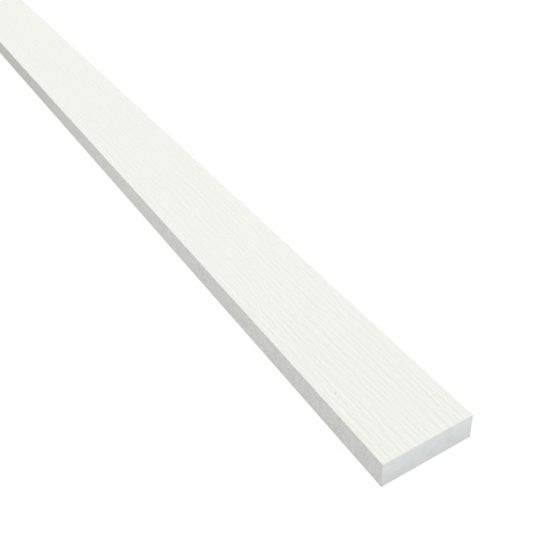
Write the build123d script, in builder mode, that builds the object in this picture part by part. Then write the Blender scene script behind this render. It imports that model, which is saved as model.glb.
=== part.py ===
from build123d import *
import os

# Fibre cement batten trim: one straight length of solid stock, lying on its back with its face up.
# X runs along the length, Y across the width and Z through the thickness, from the back to the face.
# The origin is in the middle of the back, the side that goes against the wall.

# Driving dimensions in millimetres
length = 3657.6  # a sold length, 12 ft
width = 63.5  # 2 1/2 in
thickness = 19.05  # 3/4 in
arris_radius = 0.5  # every edge, eased by the saw and the coat

# Batten: its section is drawn on the plane of the far end and carried along the length
with BuildPart() as batten:
    with BuildSketch(Plane.YZ.offset(-length / 2)):
        Rectangle(width, thickness, align=(Align.CENTER, Align.MIN))
    extrude(amount=length)
    fillet(batten.edges(), radius=arris_radius)
batten.part.label = "batten"

os.makedirs("parts", exist_ok=True)
export_step(batten.part, "parts/batten.step")
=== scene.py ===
import math

import bpy
import numpy as np
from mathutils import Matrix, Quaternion, Vector


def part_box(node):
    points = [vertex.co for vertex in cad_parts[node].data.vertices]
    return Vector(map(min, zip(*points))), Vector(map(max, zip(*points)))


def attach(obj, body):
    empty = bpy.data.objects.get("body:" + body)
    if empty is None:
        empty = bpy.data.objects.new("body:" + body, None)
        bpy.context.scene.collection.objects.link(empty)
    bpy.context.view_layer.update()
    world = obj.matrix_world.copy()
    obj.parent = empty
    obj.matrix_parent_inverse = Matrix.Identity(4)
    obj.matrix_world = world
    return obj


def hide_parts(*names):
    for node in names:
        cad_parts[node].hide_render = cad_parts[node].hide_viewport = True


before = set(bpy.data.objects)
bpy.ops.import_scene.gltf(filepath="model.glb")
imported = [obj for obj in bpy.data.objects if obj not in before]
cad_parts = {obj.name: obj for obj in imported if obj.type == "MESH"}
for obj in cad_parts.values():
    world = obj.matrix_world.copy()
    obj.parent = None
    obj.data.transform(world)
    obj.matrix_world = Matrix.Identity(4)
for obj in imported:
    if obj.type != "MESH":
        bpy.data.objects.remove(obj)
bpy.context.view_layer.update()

# The looks of one fibre cement batten: a white primed board with a wood-grain face, lying face up.
# All lengths are in metres in the part's own frame: X along the board, Y across it, Z up from its back.
MM = 0.001

# Sizes of the board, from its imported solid, and of its eased edges
BOARD_LOW, BOARD_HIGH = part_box("batten")
WIDTH = BOARD_HIGH.y - BOARD_LOW.y
THICKNESS = BOARD_HIGH.z - BOARD_LOW.z
NEAR_END = BOARD_HIGH.x
ARRIS = 0.5 * MM

# Camera, at the photograph's viewing angle
LENS_MM = 53.755
SENSOR_MM = 36.0
CLIP_START = 0.01
CLIP_END = 200.0
CAMERA_AZIMUTH = 61.104
CAMERA_ELEVATION = 38.258
CAMERA_ROLL = 3.587
CAMERA_FROM_NEAR_END = Vector((209.7, -207.9, 366.9)) * MM

# Studio: light levels at which a surface that faces up renders about its own colour
FLOOR_SIZE = 80.0
FLOOR_DROP = 0.1 * MM
FLOOR_BOUNCE = 0.08
FLOOR_LIGHT = 0.722
FLOOR_GLOW = 0.965
FLOOR_SHADOW_SHARE = 0.05
WHITE = (1.0, 1.0, 1.0, 1.0)
SKY_LEVEL = 0.405
KEY_LEVEL = 1.90
KEY_SPREAD = 45.0
KEY_TOWARDS = Vector((-0.30, 0.65, 1.0))
FILL_LEVEL = 0.572
FILL_SPREAD = 60.0
FILL_TOWARDS = Vector((0.90, -0.12, 0.40))

# Grid of the board's skin: columns round the section, rows along the length, rings on the sawn ends,
# and how far up the normal of a face point has to point
FACE_COLUMNS = 104
ARRIS_COLUMNS = 2
EDGE_COLUMNS = 3
BACK_COLUMNS = 3
TOP_COLUMNS = FACE_COLUMNS + 2 * ARRIS_COLUMNS
LENGTH_ROWS = 800
END_ARRIS_ROWS = 2
END_ARRIS_DRAW = 0.4 * MM
SIDE_MARGIN = 0.6 * MM
END_RING_SHARES = (0.05, 0.15, 0.35, 0.6, 0.85)
FACE_UPRIGHT = 0.999

# Places of the three coats in the mesh's list of materials
FACE_COAT, EDGE_COAT, END_COAT = range(3)

# Flat layout for baking: strips of the length, one above the other,
# and the two sawn ends side by side at the top
MAP_STRIPS = 4
MAP_GAP = 0.004
MAP_BAND_HEIGHTS = (0.140, 0.026, 0.022, 0.026)
MAP_END_SIZE = (0.30, 0.06)

# Pressed grain: lens-shaped streaks along the board, one to each cell of a lattice
STREAK_SEED = 147
STREAK_RISE = 0.15 * MM
FACE_LEVEL = THICKNESS - STREAK_RISE
STREAK_PITCH = (3.2 * MM, 4.8 * MM)
STREAK_PITCH_SHARE = 0.75
STREAK_CELL = (14.0 * MM, 1.9 * MM)
STREAK_HALF_LENGTH = (8.0 * MM, 36.0 * MM)
STREAK_LEAN = 0.045
STREAK_LEAST = 0.45
STREAK_REACH = 3
BUNDLE_CELLS = (3, 4)
BUNDLE_LEAST = 0.6
SWAY_SEEDS = (11, 12)
SWAY = 1.6 * MM
SWAY_PITCH = 150.0 * MM
SECOND_SWAY_SHARE = 0.4
STRAIGHT_END = 60.0 * MM
PLAIN_EDGE = 2.5 * MM

# Stretches measured from the near end: where the grain gets fainter, where a painted grey shade for light
# that falls off along the edges comes in, and where both come back to whole
FAINTER_BY = 0.60
FAINTER_FROM = (0.0 * MM, 250.0 * MM)
FALLOFF_FROM = (340.0 * MM, 680.0 * MM)
WHOLE_AGAIN = (750.0 * MM, 1250.0 * MM)

# Colours of the coats, as linear values
FACE_WHITE = (0.960, 0.970, 0.929)
GROOVE_SHADE = (0.795, 0.790, 0.726)
EDGE_WHITE = (0.948, 0.955, 0.918)
EDGE_SHADE = (0.778, 0.783, 0.728)
END_WHITE = (0.902, 0.948, 0.946)
END_SHADE = (0.788, 0.816, 0.809)
SCUFF_WHITE = (0.960, 0.945, 0.945)
CHIP_GREY = (0.560, 0.565, 0.560)
# Painted shade for light that falls off along the edges
FALLOFF_GREY = (0.510, 0.510, 0.440)
SEAL_TINT = (0.882, 0.859, 0.951)

# Mottles in the coats: the size of their clouds along each axis, and their levels of finer detail.
# Along the axis of an unchanging size the noise is all but the same.
UNCHANGING = 100.0
FIBRE = ((8.0 * MM, 0.8 * MM, UNCHANGING), 3.0)
NAP = ((3.0 * MM, 0.9 * MM, UNCHANGING), 1.0)
STIPPLE = ((0.9 * MM, 0.9 * MM, 0.9 * MM), 2.0)
TONE = ((60.0 * MM, 20.0 * MM, 20.0 * MM), 2.0)
SAW_LINES = ((0.8 * MM, 0.8 * MM, 9.0 * MM), 2.0)
EDGE_CLOUD = ((5.0 * MM, 5.0 * MM, 4.0 * MM), 3.0)
SPECK = ((0.95 * MM, 0.95 * MM, 0.95 * MM), 2.0)
LAYERS = ((9.0 * MM, 9.0 * MM, 0.9 * MM), 2.0)
END_CLOUD = ((6.0 * MM, 6.0 * MM, 6.0 * MM), 2.0)
PORE = ((0.55 * MM, 0.55 * MM, 0.55 * MM), 1.0)

# Levels between which a shade or a mottle turns from nothing to all
EDGE_SHADE_LEVELS = (0.42, 0.61)
END_SHADE_LEVELS = (0.35, 0.95)
PORE_LEVELS = (0.60, 0.75)

# Roughness of each coat: the least, and how much a mottle of 1 adds
FACE_ROUGHNESS = (0.58, 0.16)
EDGE_ROUGHNESS = (0.52, 0.20)
END_ROUGHNESS = (0.58, 0.20)
COAT_GLOSS = 0.35

# Painted light and shade: how far the painted highlights and shade of the arrises reach in from them, how
# far the painted shade of the foot reaches up from the floor, the seal coat of the ends that reaches along
# the edges, and how much painted grey shade, for light that falls off along the edges, lies over one
# stretch
ARRIS_PAINT_REACH = 0.9 * MM
FOOT_HEIGHT = 1.4 * MM
SEAL_SHARE = 0.2
SEAL_REACH = 90.0 * MM
FALLOFF_SHARE = 0.40

# Small marks on the face: how far from the near end, how far across, half sizes, turn in degrees and
# how dark, with the share of an oval that is its even core and the half size up and down
MARK_CORE = 0.35
MARK_DEPTH = 3.0 * MM
FACE_MARKS = [
    (56.2 * MM, -23.0 * MM, (1.8 * MM, 0.62 * MM), -39.0, 0.48),
    (86.0 * MM, -0.2 * MM, (1.3 * MM, 0.8 * MM), 60.0, 0.14),
    (84.3 * MM, 2.2 * MM, (1.3 * MM, 0.7 * MM), 20.0, 0.10),
    (122.5 * MM, -11.0 * MM, (2.4 * MM, 1.0 * MM), 0.0, 0.13),
    (509.0 * MM, 4.0 * MM, (5.0 * MM, 3.0 * MM), 0.0, 0.08),
]

# Marks at the near end's lower corners: a darker spot at the left one, and at the right one a chip, whose
# grey is partly painted shade inside it, with a pale scuff beside it: their middles and half sizes, and how
# strong they are
DARK_CORNER_PLACE = (NEAR_END, BOARD_LOW.y, 0.0)
DARK_CORNER_SIZE = (2.4 * MM, 2.0 * MM, 2.2 * MM)
DARK_CORNER_SHARE = 0.7
CHIP_PLACE = (NEAR_END, WIDTH / 2 - 0.9 * MM, 1.9 * MM)
CHIP_SIZE = (2.0 * MM, 0.9 * MM, 1.5 * MM)
CHIP_SHARE = 0.75
SCUFF_PLACE = (NEAR_END, WIDTH / 2 - 2.6 * MM, 3.2 * MM)
SCUFF_SIZE = (2.0 * MM, 2.2 * MM, 2.6 * MM)
SCUFF_SHARE = 0.6


def smooth(share):
    """An S-shaped ease from 0 to 1: share squared times three less two shares."""
    return share * share * (3.0 - 2.0 * share)


def past(distance, stretch):
    """0 before a stretch and 1 past it, with the S-shaped ease between them."""
    return smooth(np.clip((distance - stretch[0]) / np.ptp(stretch), 0.0, 1.0))


def wander(along, pitch, seed):
    """Random heights between -1 and 1 along a line: values a pitch apart, eased from one to the next."""
    place = (along - BOARD_LOW.x) / pitch
    cell = np.floor(place).astype(int)
    values = np.random.default_rng(seed).uniform(-1.0, 1.0, cell.max() + 3)
    return values[cell] + (values[cell + 1] - values[cell]) * smooth(place - cell)


def grain_sway(along):
    """How far the grain swings sideways: two slow wanders, eased to nothing towards the board's ends.

    The second wander is smaller and shorter than the first by the same share.
    """
    from_end = np.minimum(along - BOARD_LOW.x, BOARD_HIGH.x - along)
    ease = smooth(np.clip(from_end / STRAIGHT_END, 0.0, 1.0))
    first = wander(along, SWAY_PITCH, SWAY_SEEDS[0])
    second = wander(along, SECOND_SWAY_SHARE * SWAY_PITCH, SWAY_SEEDS[1])
    return SWAY * ease * (first + SECOND_SWAY_SHARE * second)


def grain_relief(along, across):
    """Height of the pressed grain, between -1 and 1: the sum of many streaks that lie along the board.

    The face is ruled into cells, and each holds one streak with a random middle, lean and height, up or
    down. Its half length grows with the square of a random share, so that short streaks are the more common
    ones. Its half width is a fixed share of its own random pitch. Bundles of neighbouring cells share a
    random strength. Along itself a streak fades as the square of one less u squared, where u is the share
    of its half length. Across, it is a ridge between two grooves: the same fade in v, the share of its half
    width, times the cosine of v one and a half half turns. A point adds up the streaks of the cells round
    it, and the hyperbolic tangent of the sum levels off its highest and lowest places.
    """
    cell_x = np.floor((along - BOARD_LOW.x) / STREAK_CELL[0]).astype(int) + STREAK_REACH
    cell_y = np.floor((across - BOARD_LOW.y) / STREAK_CELL[1]).astype(int) + STREAK_REACH
    count = (cell_x.max() + STREAK_REACH + 1, cell_y.max() + STREAK_REACH + 1)
    random = np.random.default_rng(STREAK_SEED)
    place_x, place_y = random.uniform(0.0, 1.0, (2, *count))
    half_width = STREAK_PITCH_SHARE * random.uniform(*STREAK_PITCH, count)
    longer = random.uniform(0.0, 1.0, count) ** 2
    half_length = STREAK_HALF_LENGTH[0] + np.ptp(STREAK_HALF_LENGTH) * longer
    lean = random.uniform(-STREAK_LEAN, STREAK_LEAN, count)
    height = random.uniform(STREAK_LEAST, 1.0, count) * random.choice([-1.0, 1.0], count)
    bundle = random.uniform(BUNDLE_LEAST, 1.0, count)
    bundle_x = np.arange(count[0])[:, None] // BUNDLE_CELLS[0]
    bundle_y = np.arange(count[1]) // BUNDLE_CELLS[1]
    height *= bundle[bundle_x, bundle_y]
    relief = np.zeros(along.shape)
    steps = range(-STREAK_REACH, STREAK_REACH + 1)
    for step_x, step_y in [(a, b) for a in steps for b in steps]:
        here = (cell_x + step_x, cell_y + step_y)
        middle_x = BOARD_LOW.x + (here[0] - STREAK_REACH + place_x[here]) * STREAK_CELL[0]
        middle_y = BOARD_LOW.y + (here[1] - STREAK_REACH + place_y[here]) * STREAK_CELL[1]
        off_x, off_y = along - middle_x, across - middle_y
        u = np.clip(off_x / half_length[here], -1.0, 1.0)
        v = np.clip((off_y - lean[here] * off_x) / half_width[here], -1.0, 1.0)
        relief += height[here] * ((1.0 - u * u) * (1.0 - v * v)) ** 2 * np.cos(1.5 * math.pi * v)
    return np.tanh(relief)


def press_depth(along):
    """How deep the grain is pressed, as a share of its whole depth.

    It is whole at the near end, eases to a fainter stretch and comes back to whole.
    """
    from_end = NEAR_END - along
    return 1.0 - FAINTER_BY * past(from_end, FAINTER_FROM) * (1.0 - past(from_end, WHOLE_AGAIN))


def section_outline():
    """The board's section as a closed round of points: (y, z, outward normal y, outward normal z).

    Four sides follow each other: the face from -Y to +Y, an edge down, the back and the other edge up.
    Before each side comes a quarter circle, on which the normal turns from the side before to this one.
    Each side starts and ends with a narrow margin, so that it is shaded flat between its arrises.
    """
    flat_y, flat_z = WIDTH - 2 * ARRIS, FACE_LEVEL - 2 * ARRIS
    top, bottom = FACE_LEVEL - ARRIS, ARRIS
    sides = [
        (-flat_y / 2, top, FACE_COLUMNS, flat_y),
        (flat_y / 2, top, EDGE_COLUMNS, flat_z),
        (flat_y / 2, bottom, BACK_COLUMNS, flat_y),
        (-flat_y / 2, bottom, EDGE_COLUMNS, flat_z),
    ]
    quarter = np.linspace(0.0, math.pi / 2, ARRIS_COLUMNS, endpoint=False)
    pieces = []
    from_y, from_z = -1.0, 0.0
    for middle_y, middle_z, columns, run in sides:
        to_y, to_z = from_z, -from_y
        turn_y = from_y * np.cos(quarter) + to_y * np.sin(quarter)
        turn_z = from_z * np.cos(quarter) + to_z * np.sin(quarter)
        pieces.append(np.stack([middle_y + ARRIS * turn_y, middle_z + ARRIS * turn_z, turn_y, turn_z]))
        step = np.concatenate([[0.0], np.linspace(SIDE_MARGIN, run - SIDE_MARGIN, columns - 1)])
        pieces.append(np.stack([
            middle_y + ARRIS * to_y + to_z * step,
            middle_z + ARRIS * to_z - to_y * step,
            np.full(columns, to_y),
            np.full(columns, to_z),
        ]))
        from_y, from_z = to_y, to_z
    return np.concatenate(pieces, axis=1)


def length_rows():
    """Places of the rows along the board, and how far each is drawn in.

    Both ends are rounded over a quarter oval. It draws in a little less than the arris radius, so that the
    corners of the sawn ends stay round.
    """
    first, last = BOARD_LOW.x + ARRIS, BOARD_HIGH.x - ARRIS
    inner = np.linspace(first + SIDE_MARGIN, last - SIDE_MARGIN, LENGTH_ROWS - 1)
    body = np.concatenate([[first], inner, [last]])
    turn = np.linspace(0.0, math.pi / 2, END_ARRIS_ROWS + 1)[1:]
    over, drawn = ARRIS * np.sin(turn), END_ARRIS_DRAW * (1.0 - np.cos(turn))
    places = np.concatenate([(body[0] - over)[::-1], body, body[-1] + over])
    inset = np.concatenate([drawn[::-1], 0.0 * body, drawn])
    return places, inset


def skin_points():
    """Points of the skin on a grid of rows and columns, and for each its place on the grain.

    The section is carried along the length. Face points swing sideways with the grain, by nothing at the
    long edges and most in the middle, and rise and sink by its relief. The relief fades out along the long
    edges, so that the arrises are straight. The place on the grain is (along, across before the swing,
    relief).
    """
    y, z, ny, nz = section_outline()
    places, inset = length_rows()
    along = np.repeat(places[:, None], len(y), axis=1)
    across = np.repeat(y[None, :], len(places), axis=0)
    on_face = nz > FACE_UPRIGHT
    from_edge = np.clip((WIDTH / 2 - np.abs(across)) / PLAIN_EDGE, 0.0, 1.0)
    relief = on_face * press_depth(along) * smooth(from_edge) * grain_relief(along, across)
    swing = on_face * (1.0 - (2.0 * y / (WIDTH - 2 * ARRIS)) ** 2)
    points = np.stack([
        along,
        across + swing * grain_sway(along) - ny * inset[:, None],
        z[None, :] - nz * inset[:, None] + STREAK_RISE * relief,
    ], axis=2)
    return points, np.stack([along, across, relief], axis=2)


def end_rings(rim):
    """Rings on a sawn end, from its rim inwards, each a share of the way to the section's middle line."""
    middle = np.stack([
        rim[:, 0],
        np.clip(rim[:, 1], THICKNESS / 2 - WIDTH / 2, WIDTH / 2 - THICKNESS / 2),
        np.full(len(rim), THICKNESS / 2),
    ], axis=1)
    shares = np.array(END_RING_SHARES)[:, None, None]
    return rim[None] + shares * (middle - rim)[None]


def grid_quads(first, rows, columns):
    """Corner numbers of the quads on a closed round of columns, for rows of points numbered from first."""
    row, column = np.meshgrid(np.arange(rows - 1), np.arange(columns), indexing="ij")
    after = (column + 1) % columns
    here, above = first + row * columns, first + (row + 1) * columns
    return np.stack([here + column, above + column, above + after, here + after], axis=2).reshape(-1, 4)


def skin_layout(rows):
    """Places of the skin's corners on the flat layout, quad by quad, and the height above which it is free.

    The columns make four bands: the face with its upper arrises, an edge, the back and the other edge. The
    rows make strips with about as many rows in each. Each band of each strip lies across the layout, a gap
    above the one before. Along it u grows with the row, and across it v grows with the distance round the
    section.
    """
    y, z = section_outline()[:2]
    breadth = np.hypot(np.roll(y, -1) - y, np.roll(z, -1) - z)
    edge_columns = EDGE_COLUMNS + ARRIS_COLUMNS
    band_columns = [TOP_COLUMNS, edge_columns, BACK_COLUMNS, edge_columns]
    bands = len(band_columns)
    shares = [part / part.sum() for part in np.split(breadth, np.cumsum(band_columns)[:-1])]
    band = np.repeat(np.arange(bands), band_columns)
    height = np.array(MAP_BAND_HEIGHTS)[band]
    upper = height * np.concatenate([np.cumsum(share) for share in shares])
    lower = upper - height * np.concatenate(shares)
    first_row = np.linspace(0, rows - 1, MAP_STRIPS + 1).astype(int)
    row = np.arange(rows - 1)
    strip = np.searchsorted(first_row, row, side="right") - 1
    tops = np.cumsum(np.tile(np.array(MAP_BAND_HEIGHTS) + MAP_GAP, MAP_STRIPS))
    base = (tops - np.tile(MAP_BAND_HEIGHTS, MAP_STRIPS)).reshape(MAP_STRIPS, bands)[strip][:, band]
    start = (row - first_row[strip]) / np.diff(first_row)[strip]
    stop = (row + 1 - first_row[strip]) / np.diff(first_row)[strip]
    u = MAP_GAP + (1.0 - 2 * MAP_GAP) * np.stack([start, stop, stop, start], axis=1)
    v = base[:, :, None] + np.stack([lower, lower, upper, upper], axis=1)
    u = np.broadcast_to(u[:, None, :], v.shape)
    return np.stack([u, v], axis=3).reshape(-1, 2), tops[-1] + MAP_GAP


def end_layout(points, base):
    """Places of the sawn ends' corners on the flat layout, the near end left of the far one.

    Across the end u grows with Y, and up it v grows with Z.
    """
    wide, high = MAP_END_SIZE
    start = np.where(points[:, 0] > 0.0, MAP_GAP, 2 * MAP_GAP + wide)
    u = start + wide * (points[:, 1] - BOARD_LOW.y) / WIDTH
    return np.stack([u, base + high * points[:, 2] / THICKNESS], axis=1)


def batten_mesh():
    """One closed mesh: the skin's grid, then rings and a middle face on each sawn end.

    Its points carry their place on the grain and how deep the grain is pressed there.
    """
    points, grain = skin_points()
    rows, columns = points.shape[:2]
    rings = len(END_RING_SHARES)
    near_first = rows * columns
    far_first = near_first + rings * columns
    flat = np.concatenate([points, end_rings(points[-1]), end_rings(points[0])]).reshape(-1, 3)
    column = np.arange(columns)
    after = np.roll(column, -1)
    near_rim, far_rim = near_first - columns + column, column
    near_join = np.stack([near_rim, near_first + column, near_first + after, near_rim[after]], axis=1)
    far_join = np.stack([far_rim, far_rim[after], far_first + after, far_first + column], axis=1)
    quads = np.concatenate([
        grid_quads(0, rows, columns),
        near_join,
        grid_quads(near_first, rings, columns),
        far_join,
        grid_quads(far_first, rings, columns)[:, ::-1],
    ])
    near_middle = near_first + (rings - 1) * columns + column
    far_middle = far_first + (rings - 1) * columns + column
    faces = quads.tolist() + [near_middle[::-1].tolist(), far_middle.tolist()]
    mesh = bpy.data.meshes.new("batten_board")
    mesh.from_pydata(flat, [], faces)
    skin_faces = (rows - 1) * columns
    coat = np.full(len(faces), END_COAT, np.int32)
    coat[:skin_faces] = np.tile(np.where(column < TOP_COLUMNS, FACE_COAT, EDGE_COAT), rows - 1)
    mesh.polygons.foreach_set("material_index", coat)
    mesh.polygons.foreach_set("use_smooth", np.arange(len(faces)) < skin_faces)
    places = np.zeros((len(flat), 3), np.float32)
    places[:near_first] = grain.reshape(-1, 3)
    mesh.attributes.new("grain", "FLOAT_VECTOR", "POINT").data.foreach_set("vector", places.ravel())
    pressed = press_depth(flat[:, 0]).astype(np.float32)
    mesh.attributes.new("press", "FLOAT", "POINT").data.foreach_set("value", pressed)
    corners = np.zeros(len(mesh.loops), np.int32)
    mesh.loops.foreach_get("vertex_index", corners)
    skin_map, ends_base = skin_layout(rows)
    ends_map = end_layout(flat[corners[len(skin_map):]], ends_base)
    layout = np.concatenate([skin_map, ends_map]).astype(np.float32)
    mesh.uv_layers.new(name="OFBake").data.foreach_set("uv", layout.ravel())
    mesh.update()
    return mesh


def add_node(tree, kind, values=None, links=None, **options):
    """One shader node with its options, its socket values and the sockets linked into it."""
    made = tree.nodes.new(kind)
    for option, setting in options.items():
        setattr(made, option, setting)
    for socket, value in (values or {}).items():
        made.inputs[socket].default_value = value
    for socket, source in (links or {}).items():
        tree.links.new(source, made.inputs[socket])
    return made


def feed(tree, socket, given):
    """Links another socket into a socket, or gives it a value of its own."""
    if isinstance(given, bpy.types.NodeSocket):
        tree.links.new(given, socket)
    else:
        socket.default_value = given


def maths(tree, operation, first, second=0.0):
    """The result of one sum on two numbers or sockets."""
    made = add_node(tree, "ShaderNodeMath", operation=operation)
    feed(tree, made.inputs[0], first)
    feed(tree, made.inputs[1], second)
    return made.outputs[0]


def weighed(tree, *parts):
    """The sum of some sockets, each times its own weight."""
    total = None
    for socket, weight in parts:
        share = maths(tree, "MULTIPLY", socket, weight)
        total = share if total is None else maths(tree, "ADD", total, share)
    return total


def eased(tree, value, start, stop):
    """0 where the value is at start, 1 where it is at stop, with an S-shaped ease between them."""
    made = add_node(tree, "ShaderNodeMapRange", {"From Min": start, "From Max": stop}, {"Value": value},
                    interpolation_type="SMOOTHSTEP")
    return made.outputs["Result"]


def part_of(tree, vector, axis):
    """One of the three parts of a vector."""
    return add_node(tree, "ShaderNodeSeparateXYZ", links={0: vector}).outputs[axis]


def in_sizes(tree, vector, sizes):
    """A vector with each part divided by a size of its own."""
    shares = tuple(1.0 / size for size in sizes)
    made = add_node(tree, "ShaderNodeVectorMath", {1: shares}, {0: vector}, operation="MULTIPLY")
    return made.outputs[0]


def mottle(tree, place, sizes, detail):
    """Random cloudy heights round 0.5, with clouds of the given size along each axis of the place."""
    made = add_node(tree, "ShaderNodeTexNoise", {"Scale": 1.0, "Detail": detail},
                    {"Vector": in_sizes(tree, place, sizes)})
    return made.outputs[0]


def between(tree, share, first, second):
    """A colour that goes from first, a socket or a colour, to second as the share goes from 0 to 1."""
    made = add_node(tree, "ShaderNodeMix", links={0: share}, data_type="RGBA")
    start, stop = [socket for socket in made.inputs if socket.type == "RGBA"]
    feed(tree, start, (*first, 1.0) if isinstance(first, tuple) else first)
    feed(tree, stop, (*second, 1.0))
    return next(socket for socket in made.outputs if socket.type == "RGBA")


def partly(tree, mark, share, first, second):
    """A colour that goes from first a share of the way to second where a mark is 1."""
    return between(tree, maths(tree, "MULTIPLY", mark, share), first, second)


def spot(tree, place, centre, sizes, turn=0.0):
    """1 in the middle of a small mark and 0 outside it: an eased fall over an oval of the given half sizes.

    The oval is turned about its upright axis by the given degrees.
    """
    offset = add_node(tree, "ShaderNodeVectorMath", {1: centre}, {0: place}, operation="SUBTRACT")
    turned = add_node(tree, "ShaderNodeVectorRotate", {"Angle": -math.radians(turn)},
                      {"Vector": offset.outputs[0]}, rotation_type="Z_AXIS")
    scaled = in_sizes(tree, turned.outputs[0], sizes)
    far = add_node(tree, "ShaderNodeVectorMath", links={0: scaled}, operation="LENGTH")
    return eased(tree, far.outputs["Value"], 1.0, MARK_CORE)


def painted_arris_light_and_shade(tree, place):
    """1 on the board's arrises and 0 a little way in from them.

    It is the mask of painted light and shade along the arrises: a painted highlight on the face and the
    sawn ends, and painted shade on the edges and the back. It eases with the second largest of the point's
    three heights above the board's pairs of opposite faces,
    which are all 0 or less: on an arris two of them are about 0, and elsewhere on the skin only one is.
    """
    middle = (BOARD_LOW + BOARD_HIGH) / 2
    half = (BOARD_HIGH - BOARD_LOW) / 2
    offset = add_node(tree, "ShaderNodeVectorMath", {1: middle}, {0: place}, operation="SUBTRACT")
    away = add_node(tree, "ShaderNodeVectorMath", links={0: offset.outputs[0]}, operation="ABSOLUTE")
    above = add_node(tree, "ShaderNodeVectorMath", {1: half}, {0: away.outputs[0]}, operation="SUBTRACT")
    x, y, z = add_node(tree, "ShaderNodeSeparateXYZ", links={0: above.outputs[0]}).outputs
    larger, smaller = maths(tree, "MAXIMUM", x, y), maths(tree, "MINIMUM", x, y)
    second = maths(tree, "MAXIMUM", smaller, maths(tree, "MINIMUM", larger, z))
    return eased(tree, second, -ARRIS_PAINT_REACH, 0.0)


# Painted shade along the board's lowest edges
def painted_foot_shade(tree, place):
    """1 on the board's lowest edges and 0 above them: an ease over the foot's height."""
    return eased(tree, part_of(tree, place, "Z"), FOOT_HEIGHT, 0.0)


def dark_lower_left_corner(tree, place):
    """1 at the near end's lower left corner, which is darker, and 0 a little way off."""
    return spot(tree, place, DARK_CORNER_PLACE, DARK_CORNER_SIZE)


def new_coat(name):
    """A material with its node tree, its Principled shader and the board's own coordinates."""
    material = bpy.data.materials.new(name)
    material.use_nodes = True
    tree = material.node_tree
    shader = tree.nodes["Principled BSDF"]
    place = add_node(tree, "ShaderNodeTexCoord").outputs["Object"]
    return material, tree, shader, place


def uneven(tree, mottled, least, gain):
    """A roughness: the least one, and a gain times the mottle on top of it."""
    return maths(tree, "ADD", maths(tree, "MULTIPLY", mottled, gain), least)


def finish_coat(tree, shader, colour, roughness, height_mm):
    """Links a colour, a roughness and, as bump, a height in millimetres into the shader; sets its gloss."""
    bump = add_node(tree, "ShaderNodeBump", {"Strength": 1.0, "Distance": MM}, {"Height": height_mm})
    tree.links.new(colour, shader.inputs["Base Color"])
    tree.links.new(roughness, shader.inputs["Roughness"])
    tree.links.new(bump.outputs["Normal"], shader.inputs["Normal"])
    shader.inputs["Specular IOR Level"].default_value = COAT_GLOSS


def grained_face():
    """White primer on the pressed face.

    Its shade grows with fine fibres along the grain and slow clouds, painted shade darkens it where the
    grain is pressed deeper and, a little, in the grooves, and painted highlights whiten the arrises. Small
    marks are greyer. The bump is the fibres, a short nap, a sprayed stipple and the dent of the first mark.
    """
    material, tree, shader, place = new_coat("grained_face")
    grain = add_node(tree, "ShaderNodeAttribute", attribute_name="grain").outputs["Vector"]
    press = add_node(tree, "ShaderNodeAttribute", attribute_name="press").outputs["Fac"]
    relief = part_of(tree, grain, "Z")
    fibre = mottle(tree, grain, *FIBRE)
    nap = mottle(tree, grain, *NAP)
    stipple = mottle(tree, place, *STIPPLE)
    tone = mottle(tree, place, *TONE)
    arris = painted_arris_light_and_shade(tree, place)
    marks = [(spot(tree, place, (NEAR_END - from_end, across, THICKNESS), (*half, MARK_DEPTH), turn), dark)
             for from_end, across, half, turn, dark in FACE_MARKS]
    dent = marks[0][0]
    # Painted shade where the grain is pressed deeper and in the grooves, and a painted highlight on the
    # arrises
    shade = weighed(tree, (relief, -0.03), (fibre, 0.36), (tone, 0.12), (press, 0.20), (arris, -0.15))
    colour = between(tree, shade, FACE_WHITE, GROOVE_SHADE)
    colour = between(tree, weighed(tree, *marks), colour, CHIP_GREY)
    height = weighed(tree, (fibre, 0.14), (nap, 0.18), (stipple, 0.05), (dent, -0.08))
    finish_coat(tree, shader, colour, uneven(tree, stipple, *FACE_ROUGHNESS), height)
    return material


def trimmed_edge():
    """White primer on the trimmed edges and the back.

    Its shade grows with fine upright saw lines, clouds and small specks, and painted shade darkens it on
    the arrises and at the foot. Near the ends a haze of their cool seal coat lies over it. Along one
    stretch a painted grey shade stands for light that falls off along the edges. The near end's lower left
    corner is darker.
    """
    material, tree, shader, place = new_coat("trimmed_edge")
    saw = mottle(tree, place, *SAW_LINES)
    cloud = mottle(tree, place, *EDGE_CLOUD)
    speck = mottle(tree, place, *SPECK)
    arris = painted_arris_light_and_shade(tree, place)
    foot = painted_foot_shade(tree, place)
    along = part_of(tree, place, "X")
    sealed = eased(tree, maths(tree, "ABSOLUTE", along), NEAR_END - SEAL_REACH, NEAR_END)
    falloff_rising = eased(tree, along, NEAR_END - FALLOFF_FROM[0], NEAR_END - FALLOFF_FROM[1])
    before_whole = eased(tree, along, NEAR_END - WHOLE_AGAIN[1], NEAR_END - WHOLE_AGAIN[0])
    painted_falloff = maths(tree, "MULTIPLY", falloff_rising, before_whole)
    # Painted shade on the arrises and at the foot
    shade = weighed(tree, (saw, 0.24), (cloud, 0.20), (speck, 0.58), (arris, 0.25), (foot, 0.35))
    colour = between(tree, eased(tree, shade, *EDGE_SHADE_LEVELS), EDGE_WHITE, EDGE_SHADE)
    colour = partly(tree, sealed, SEAL_SHARE, colour, SEAL_TINT)
    # Painted shade: a grey over one stretch, for light that falls off along the edges
    colour = partly(tree, painted_falloff, FALLOFF_SHARE, colour, FALLOFF_GREY)
    colour = partly(tree, dark_lower_left_corner(tree, place), DARK_CORNER_SHARE, colour, CHIP_GREY)
    height = weighed(tree, (saw, 0.05), (speck, 0.04))
    finish_coat(tree, shader, colour, uneven(tree, speck, *EDGE_ROUGHNESS), height)
    return material


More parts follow.
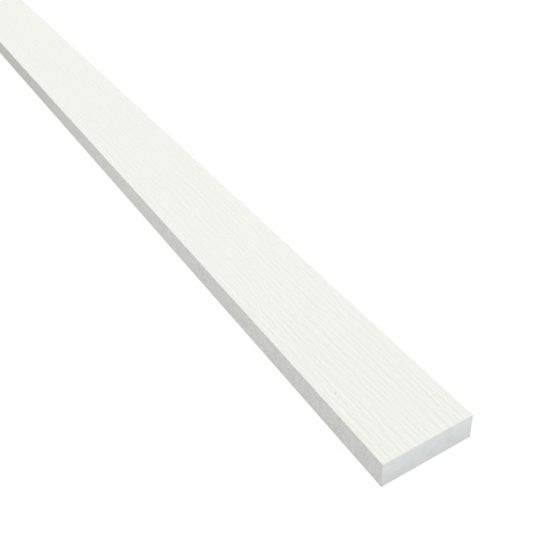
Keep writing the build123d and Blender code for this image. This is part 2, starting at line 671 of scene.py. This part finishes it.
def sawn_end():
    """The sawn ends: a cool, thin seal coat over fine layers that run level.

    Its shade grows with the layers and clouds, painted shade darkens it towards the back and at the foot,
    and painted highlights whiten the arrises. Small pores are greyer. The near end's lower right corner is
    chipped, with grey that is partly painted shade inside the chip and a pale scuff beside it, and its
    lower left corner is darker.
    """
    material, tree, shader, place = new_coat("sawn_end")
    layers = mottle(tree, place, *LAYERS)
    cloud = mottle(tree, place, *END_CLOUD)
    pore = eased(tree, mottle(tree, place, *PORE), *PORE_LEVELS)
    arris = painted_arris_light_and_shade(tree, place)
    foot = painted_foot_shade(tree, place)
    low = eased(tree, part_of(tree, place, "Z"), THICKNESS, 0.0)
    # The chip's grey is partly painted shade inside it
    chip = spot(tree, place, CHIP_PLACE, CHIP_SIZE)
    scuff = spot(tree, place, SCUFF_PLACE, SCUFF_SIZE)
    dark_corner = dark_lower_left_corner(tree, place)
    # Painted shade towards the back and at the foot, and a painted highlight on the arrises
    shade = weighed(tree, (layers, 0.5), (cloud, 0.5), (low, 0.36), (arris, -0.20), (foot, 0.70))
    knocks = weighed(tree, (pore, 0.10), (chip, CHIP_SHARE), (dark_corner, DARK_CORNER_SHARE))
    colour = between(tree, eased(tree, shade, *END_SHADE_LEVELS), END_WHITE, END_SHADE)
    colour = partly(tree, scuff, SCUFF_SHARE, colour, SCUFF_WHITE)
    colour = between(tree, knocks, colour, CHIP_GREY)
    height = weighed(tree, (layers, 0.05), (pore, -0.04), (chip, -0.4))
    finish_coat(tree, shader, colour, uneven(tree, layers, *END_ROUGHNESS), height)
    return material


def make_camera():
    """The photograph's camera: placed from the near end, and turned by its azimuth, elevation and roll."""
    data = bpy.data.cameras.new("photo_camera")
    data.lens = LENS_MM
    data.sensor_width = SENSOR_MM
    data.clip_start = CLIP_START
    data.clip_end = CLIP_END
    camera = bpy.data.objects.new("photo_camera", data)
    bpy.context.scene.collection.objects.link(camera)
    azimuth, elevation = math.radians(CAMERA_AZIMUTH), math.radians(CAMERA_ELEVATION)
    back = Vector((
        math.sin(azimuth) * math.cos(elevation),
        -math.cos(azimuth) * math.cos(elevation),
        math.sin(elevation),
    ))
    roll = Quaternion((0.0, 0.0, 1.0), -math.radians(CAMERA_ROLL))
    camera.rotation_mode = "QUATERNION"
    camera.rotation_quaternion = (-back).to_track_quat("-Z", "Y") @ roll
    camera.location = Vector((NEAR_END, 0.0, 0.0)) + CAMERA_FROM_NEAR_END
    bpy.context.scene.camera = camera


def seen_directly(tree):
    """1 for rays from the lens, off a gloss or through glass, and 0 for light that falls on the board."""
    path = add_node(tree, "ShaderNodeLightPath").outputs
    either = maths(tree, "MAXIMUM", path["Is Camera Ray"], path["Is Glossy Ray"])
    return maths(tree, "MAXIMUM", either, path["Is Transmission Ray"])


def glowing_floor(tree, grey, strength):
    """A floor that throws back a share of the light and adds an even glow of its own."""
    matt = add_node(tree, "ShaderNodeBsdfDiffuse", {"Color": (grey, grey, grey, 1.0)})
    glow = add_node(tree, "ShaderNodeEmission", {"Strength": strength})
    return add_node(tree, "ShaderNodeAddShader", links={0: matt.outputs[0], 1: glow.outputs[0]}).outputs[0]


def make_floor():
    """A wide pale floor just under the board: white to the lens apart from the board's own shadow."""
    half = FLOOR_SIZE / 2
    mesh = bpy.data.meshes.new("studio_floor")
    corners = [(-half, -half), (half, -half), (half, half), (-half, half)]
    mesh.from_pydata([(x, y, -FLOOR_DROP) for x, y in corners], [], [(0, 1, 2, 3)])
    floor = bpy.data.objects.new("studio_floor", mesh)
    bpy.context.scene.collection.objects.link(floor)
    material = bpy.data.materials.new("pale_floor")
    material.use_nodes = True
    tree = material.node_tree
    tree.nodes.clear()
    mix = add_node(tree, "ShaderNodeMixShader", links={
        0: seen_directly(tree),
        1: glowing_floor(tree, FLOOR_BOUNCE, FLOOR_LIGHT),
        2: glowing_floor(tree, FLOOR_SHADOW_SHARE, FLOOR_GLOW),
    })
    add_node(tree, "ShaderNodeOutputMaterial", links={"Surface": mix.outputs[0]})
    mesh.materials.append(material)


def make_lamp(name, level, spread, towards):
    """A far lamp as wide as the spread in degrees, which stands in the direction given."""
    data = bpy.data.lights.new(name, "SUN")
    data.energy = level
    data.angle = math.radians(spread)
    lamp = bpy.data.objects.new(name, data)
    lamp.rotation_mode = "QUATERNION"
    lamp.rotation_quaternion = towards.to_track_quat("Z", "Y")
    bpy.context.scene.collection.objects.link(lamp)


def make_light():
    """Soft studio light: an even sky, white to the lens, a broad key light above and a low fill light."""
    world = bpy.data.worlds.new("studio_sky")
    world.use_nodes = True
    bpy.context.scene.world = world
    tree = world.node_tree
    tree.nodes.clear()
    sky = add_node(tree, "ShaderNodeBackground", {"Color": WHITE, "Strength": SKY_LEVEL})
    white = add_node(tree, "ShaderNodeBackground", {"Color": WHITE, "Strength": 1.0})
    mix = add_node(tree, "ShaderNodeMixShader", links={
        0: seen_directly(tree),
        1: sky.outputs[0],
        2: white.outputs[0],
    })
    add_node(tree, "ShaderNodeOutputWorld", links={"Surface": mix.outputs[0]})
    make_lamp("key_light", KEY_LEVEL, KEY_SPREAD, KEY_TOWARDS)
    make_lamp("fill_light", FILL_LEVEL, FILL_SPREAD, FILL_TOWARDS)


def make_batten():
    """The board itself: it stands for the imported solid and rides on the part's one body."""
    mesh = batten_mesh()
    for coat in (grained_face(), trimmed_edge(), sawn_end()):
        mesh.materials.append(coat)
    board = bpy.data.objects.new("batten_board", mesh)
    bpy.context.scene.collection.objects.link(board)
    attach(board, "root")
    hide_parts("batten")


make_camera()
make_floor()
make_light()
make_batten()
bpy.context.scene.view_settings.view_transform = "Standard"
